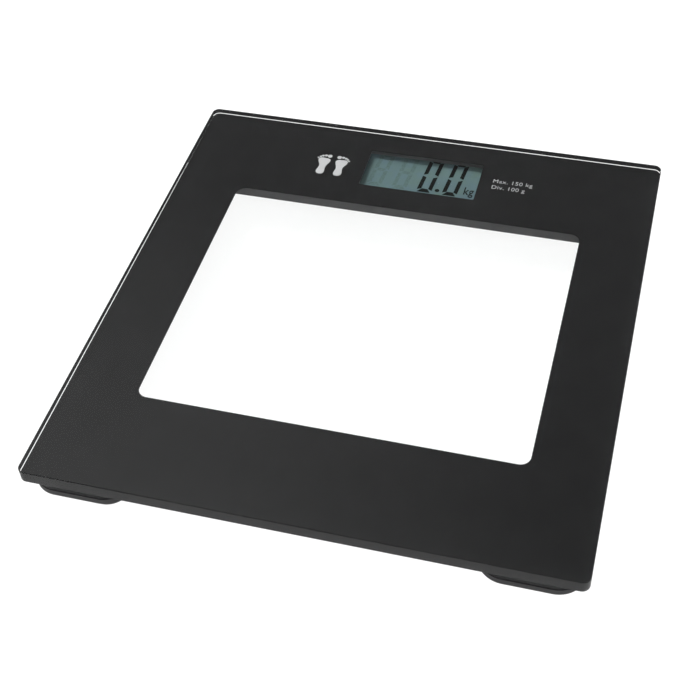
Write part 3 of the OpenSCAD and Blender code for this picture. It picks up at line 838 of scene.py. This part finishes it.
def build_display(finishes):
    """Digits, point and unit of the display, and the faint bars of its unlit digits."""
    s = sizes()
    dark = display_segment("segment_dark", (0.002, 0.002, 0.002), 0.8)
    faint = display_segment("segment_faint", tone(colours().lcd, 0.9))
    surface = top_of("lcd_polarizer")
    x0, y0, x1, y1 = window_edges("border_print")[1]
    middle_y = (y0 + y1) / 2 + 3.4 * MM
    units_x = x1 - 15.5 * MM
    tens_x = units_x - s.digit_pitch
    outlines = digit_segments(units_x, middle_y, "abcdef") + digit_segments(tens_x, middle_y, "abcdef")
    point_x = (units_x + tens_x) / 2 - 1.2 * MM
    point_y = middle_y - s.digit_height / 2 + 1.6 * MM
    outlines.append(circle(point_x, point_y, 1.5 * MM))
    piece = flat_shape("display_digits", outlines, surface, s.ink_height, dark)
    finish_piece(piece, PLATFORM)
    unit = text_piece("display_unit", "kg", 10.2 * MM, x1 - 8.4 * MM, point_y - 0.2 * MM,
                      surface, s.ink_height, dark, 0.68, 0.12 * MM)
    finish_piece(unit, PLATFORM)
    ghosts = []
    for place in (1, 2, 3):
        ghosts += digit_segments(tens_x - place * s.digit_pitch, middle_y, "abcdefg" if place < 3 else "bc")
    piece = flat_shape("display_ghosts", ghosts, surface, s.ink_height * 0.75, faint)
    finish_piece(piece, PLATFORM)


PAD_CORNER = 9 * MM
PAD_MARGIN = 7 * MM  # what the grips leave free of a pad's width and depth


def build_pads(finishes):
    """Rubber pads with a raised rim and a field of small grips."""
    s = sizes()
    tree = dimple_tree(finishes["pad_rubber"])
    for corner in CORNERS:
        node = "foot_pad_" + corner
        low, high, middle = span(node)
        size = high - low
        drop = 0.25 * MM
        profile = [
            (0.9 * MM, low.z + drop), (0.9 * MM, low.z + 0.05 * MM), (0.75 * MM, low.z),
            (0.25 * MM, low.z), (0.08 * MM, low.z + 0.08 * MM), (0, low.z + 0.25 * MM), (0, high.z),
        ]
        mesh = swept_slab(size.x, size.y, PAD_CORNER, profile, middle, 12)
        piece = add_object("grip_pad_" + corner, mesh, finishes["pad_rubber"])
        columns = int((size.x - PAD_MARGIN) / s.dimple_pitch) + 1
        rows = int((size.y - PAD_MARGIN) / s.dimple_pitch) + 1
        tree.apply(
            piece, Columns=columns, Rows=rows,
            Width=(columns - 1) * s.dimple_pitch, Depth=(rows - 1) * s.dimple_pitch,
            Radius=s.dimple_radius, Height=drop,
            Place=(middle.x, middle.y, low.z + drop),
        )
        finish_piece(piece, "foot_" + corner, "pad_rubber", node)


def dress_nodes(finishes):
    """Gives every CAD node its slot's finish."""
    for part in frame["record"]["subparts"]:
        node = frame["nodes"][part["node"]]
        node.data.materials.clear()
        node.data.materials.append(finishes[part["material_slot"]])
        for face in node.data.polygons:
            face.material_index = 0


# ---------------------------------------------------------------- studio


GLOW_DIRECTION = Vector((-0.453, 0.211, 0.866))
GLOW_START, GLOW_FULL = 0.82, 1.0  # cosines of the angle from the glow's middle
FLOOR_HALF = 6
FLOOR_DROP = 0.2 * MM
FLOOR_DARK, FLOOR_LIGHT = (0.09, 0.09, 0.09), (0.1, 0.1, 0.1)
# azimuth, elevation, distance and size of each lamp
KEY_LAMP = (math.radians(38), math.radians(31), 2.4, 0.2)
FILL_LAMP = (math.radians(200), math.radians(72), 2.2, 1.8)


def aim(thing, target):
    """Turns a light to look at a point."""
    thing.rotation_euler = (target - thing.location).to_track_quat("-Z", "Y").to_euler()


def panel_light(name, azimuth, elevation, distance, size, power, target):
    """Soft round lamp aimed at a point; azimuth turns left from the back edge's direction."""
    data = bpy.data.lights.new(name, "AREA")
    data.shape = "DISK"
    data.size = size
    data.energy = power
    light = bpy.data.objects.new(name, data)
    bpy.context.scene.collection.objects.link(light)
    light.location = target + distance * Vector((
        -math.sin(azimuth) * math.cos(elevation),
        math.cos(azimuth) * math.cos(elevation),
        math.sin(elevation),
    ))
    aim(light, target)
    return light


def build_camera():
    s = studio()
    back = Vector((
        math.sin(s.azimuth) * math.cos(s.elevation),
        -math.cos(s.azimuth) * math.cos(s.elevation),
        math.sin(s.elevation),
    ))
    right = Vector((math.cos(s.azimuth), math.sin(s.azimuth), 0))
    up = back.cross(right)
    rolled_right = math.cos(s.roll) * right + math.sin(s.roll) * up
    rolled_up = -math.sin(s.roll) * right + math.cos(s.roll) * up
    low, _, middle = span("glass_platform")
    underside = Vector((middle.x, middle.y, low.z))
    data = bpy.data.cameras.new("camera")
    data.lens = s.lens
    data.sensor_width = 36
    data.clip_end = 50
    camera = bpy.data.objects.new("camera", data)
    bpy.context.scene.collection.objects.link(camera)
    place = underside + s.slide[0] * rolled_right + s.slide[1] * rolled_up + s.distance * back
    camera.matrix_world = Matrix((
        (rolled_right.x, rolled_up.x, back.x, place.x),
        (rolled_right.y, rolled_up.y, back.y, place.y),
        (rolled_right.z, rolled_up.z, back.z, place.z),
        (0, 0, 0, 1),
    ))
    bpy.context.scene.camera = camera


def build_world():
    """Soft dome, brighter high on the left; dimmer in polished faces and white where the camera sees it."""
    s = studio()
    world = bpy.data.worlds.new("studio_dome")
    bpy.context.scene.world = world
    world.use_nodes = True
    nodes, links = world.node_tree.nodes, world.node_tree.links
    where = nodes.new("ShaderNodeTexCoord").outputs["Generated"]
    dot = nodes.new("ShaderNodeVectorMath")
    dot.operation = "DOT_PRODUCT"
    links.new(where, dot.inputs[0])
    dot.inputs[1].default_value = GLOW_DIRECTION
    glow = nodes.new("ShaderNodeMapRange")
    glow.interpolation_type = "SMOOTHSTEP"
    spread = (("From Min", GLOW_START), ("From Max", GLOW_FULL), ("To Min", 0), ("To Max", s.glow))
    for socket, value in spread:
        glow.inputs[socket].default_value = value
    links.new(dot.outputs["Value"], glow.inputs["Value"])
    even = nodes.new("ShaderNodeMapRange")
    path = nodes.new("ShaderNodeLightPath")
    links.new(path.outputs["Is Glossy Ray"], even.inputs["Value"])
    even.inputs["To Min"].default_value = s.sky
    even.inputs["To Max"].default_value = s.sky * s.mirrored
    total = nodes.new("ShaderNodeMath")
    links.new(glow.outputs["Result"], total.inputs[0])
    links.new(even.outputs["Result"], total.inputs[1])
    seen = nodes.new("ShaderNodeMath")
    seen.operation = "MAXIMUM"
    links.new(total.outputs[0], seen.inputs[0])
    links.new(path.outputs["Is Camera Ray"], seen.inputs[1])
    links.new(seen.outputs[0], nodes["Background"].inputs["Strength"])
    nodes["Background"].inputs["Color"].default_value = (1, 1, 1, 1)


def build_floor():
    """Plain pale floor with a light of its own, stronger where it is seen than where it lights the scale."""
    s = studio()
    bm = bmesh.new()
    bmesh.ops.create_grid(bm, x_segments=1, y_segments=1, size=FLOOR_HALF)
    mesh = bpy.data.meshes.new("floor")
    bm.to_mesh(mesh)
    bm.free()
    finish = Finish("pale_floor", 0.9, Specular_IOR_Level=0.0)
    finish.colour(finish.blend(finish.ranged(finish.noise(3), 0, 1), FLOOR_DARK, FLOOR_LIGHT))
    finish.shader.inputs["Emission Color"].default_value = (1, 1, 1, 1)
    path = finish.node("ShaderNodeLightPath")
    seen = finish.node("ShaderNodeMath", operation="MAXIMUM")
    finish.links.new(path.outputs["Is Camera Ray"], seen.inputs[0])
    finish.links.new(path.outputs["Is Transmission Ray"], seen.inputs[1])
    finish.links.new(finish.ranged(seen.outputs[0], s.bounce, s.glare, 0, 1),
                     finish.shader.inputs["Emission Strength"])
    floor = add_object("floor", mesh, finish.material)
    floor.location.z = -FLOOR_DROP


# ---------------------------------------------------------------- operators


FINISHES = {}


class SCALE_OT_camera(bpy.types.Operator):
    """Places the camera"""

    bl_idname = "scale.camera"
    bl_label = "Camera"

    def execute(self, context):
        build_camera()
        return {"FINISHED"}


class SCALE_OT_finishes(bpy.types.Operator):
    """Makes the finishes and dresses every CAD node in its own"""

    bl_idname = "scale.finishes"
    bl_label = "Finishes"

    def execute(self, context):
        FINISHES.update(slot_finishes())
        dress_nodes(FINISHES)
        return {"FINISHED"}


class SCALE_OT_glass(bpy.types.Operator):
    """Builds the glass platform with its ground edges"""

    bl_idname = "scale.glass"
    bl_label = "Glass platform"

    def execute(self, context):
        build_glass(FINISHES)
        return {"FINISHED"}


class SCALE_OT_print(bpy.types.Operator):
    """Builds the black print under the glass"""

    bl_idname = "scale.border_print"
    bl_label = "Printed border"

    def execute(self, context):
        build_print(FINISHES)
        return {"FINISHED"}


class SCALE_OT_legends(bpy.types.Operator):
    """Builds the light legends beside the display"""

    bl_idname = "scale.legends"
    bl_label = "Legends"

    def execute(self, context):
        build_legends(FINISHES)
        return {"FINISHED"}


class SCALE_OT_display(bpy.types.Operator):
    """Builds the display's digits and unit"""

    bl_idname = "scale.display"
    bl_label = "Display digits"

    def execute(self, context):
        build_display(FINISHES)
        return {"FINISHED"}


class SCALE_OT_pads(bpy.types.Operator):
    """Builds the rubber pads under the feet"""

    bl_idname = "scale.pads"
    bl_label = "Foot pads"

    def execute(self, context):
        build_pads(FINISHES)
        return {"FINISHED"}


class SCALE_OT_stage(bpy.types.Operator):
    """Builds the floor, the dome and the lights"""

    bl_idname = "scale.stage"
    bl_label = "Stage"

    def execute(self, context):
        s = studio()
        context.scene.view_settings.view_transform = "Standard"
        build_world()
        build_floor()
        target = span("display_frame")[2]
        panel_light("key", *KEY_LAMP, s.key, target)
        fill = panel_light("fill", *FILL_LAMP, s.fill, Vector((0, 0, 0)))
        fill.visible_glossy = False
        return {"FINISHED"}


class SCALE_PT_panel(bpy.types.Panel):
    """Lists the scale's pieces and the stage"""

    bl_idname = "SCALE_PT_panel"
    bl_label = "Glass platform scale"
    bl_space_type = "VIEW_3D"
    bl_region_type = "UI"
    bl_category = "Scale"

    def draw(self, context):
        for operator in OPERATORS:
            self.layout.operator(operator.bl_idname)
        for group in (context.scene.scale_sizes, context.scene.scale_colours, context.scene.scale_studio):
            box = self.layout.box()
            for name in group.__annotations__:
                box.prop(group, name)


GROUPS = (SCALE_PG_sizes, SCALE_PG_colours, SCALE_PG_studio)
OPERATORS = (
    SCALE_OT_camera, SCALE_OT_finishes, SCALE_OT_glass, SCALE_OT_print, SCALE_OT_legends,
    SCALE_OT_display, SCALE_OT_pads, SCALE_OT_stage,
)


def register():
    for cls in (*GROUPS, *OPERATORS, SCALE_PT_panel):
        bpy.utils.register_class(cls)
    bpy.types.Scene.scale_sizes = bpy.props.PointerProperty(type=SCALE_PG_sizes)
    bpy.types.Scene.scale_colours = bpy.props.PointerProperty(type=SCALE_PG_colours)
    bpy.types.Scene.scale_studio = bpy.props.PointerProperty(type=SCALE_PG_studio)


def unregister():
    for name in ("scale_sizes", "scale_colours", "scale_studio"):
        delattr(bpy.types.Scene, name)
    for cls in reversed((*GROUPS, *OPERATORS, SCALE_PT_panel)):
        bpy.utils.unregister_class(cls)


def main():
    register()
    for operator in OPERATORS:
        group, name = operator.bl_idname.split(".")
        getattr(getattr(bpy.ops, group), name)()


if __name__ == "__main__":
    main()
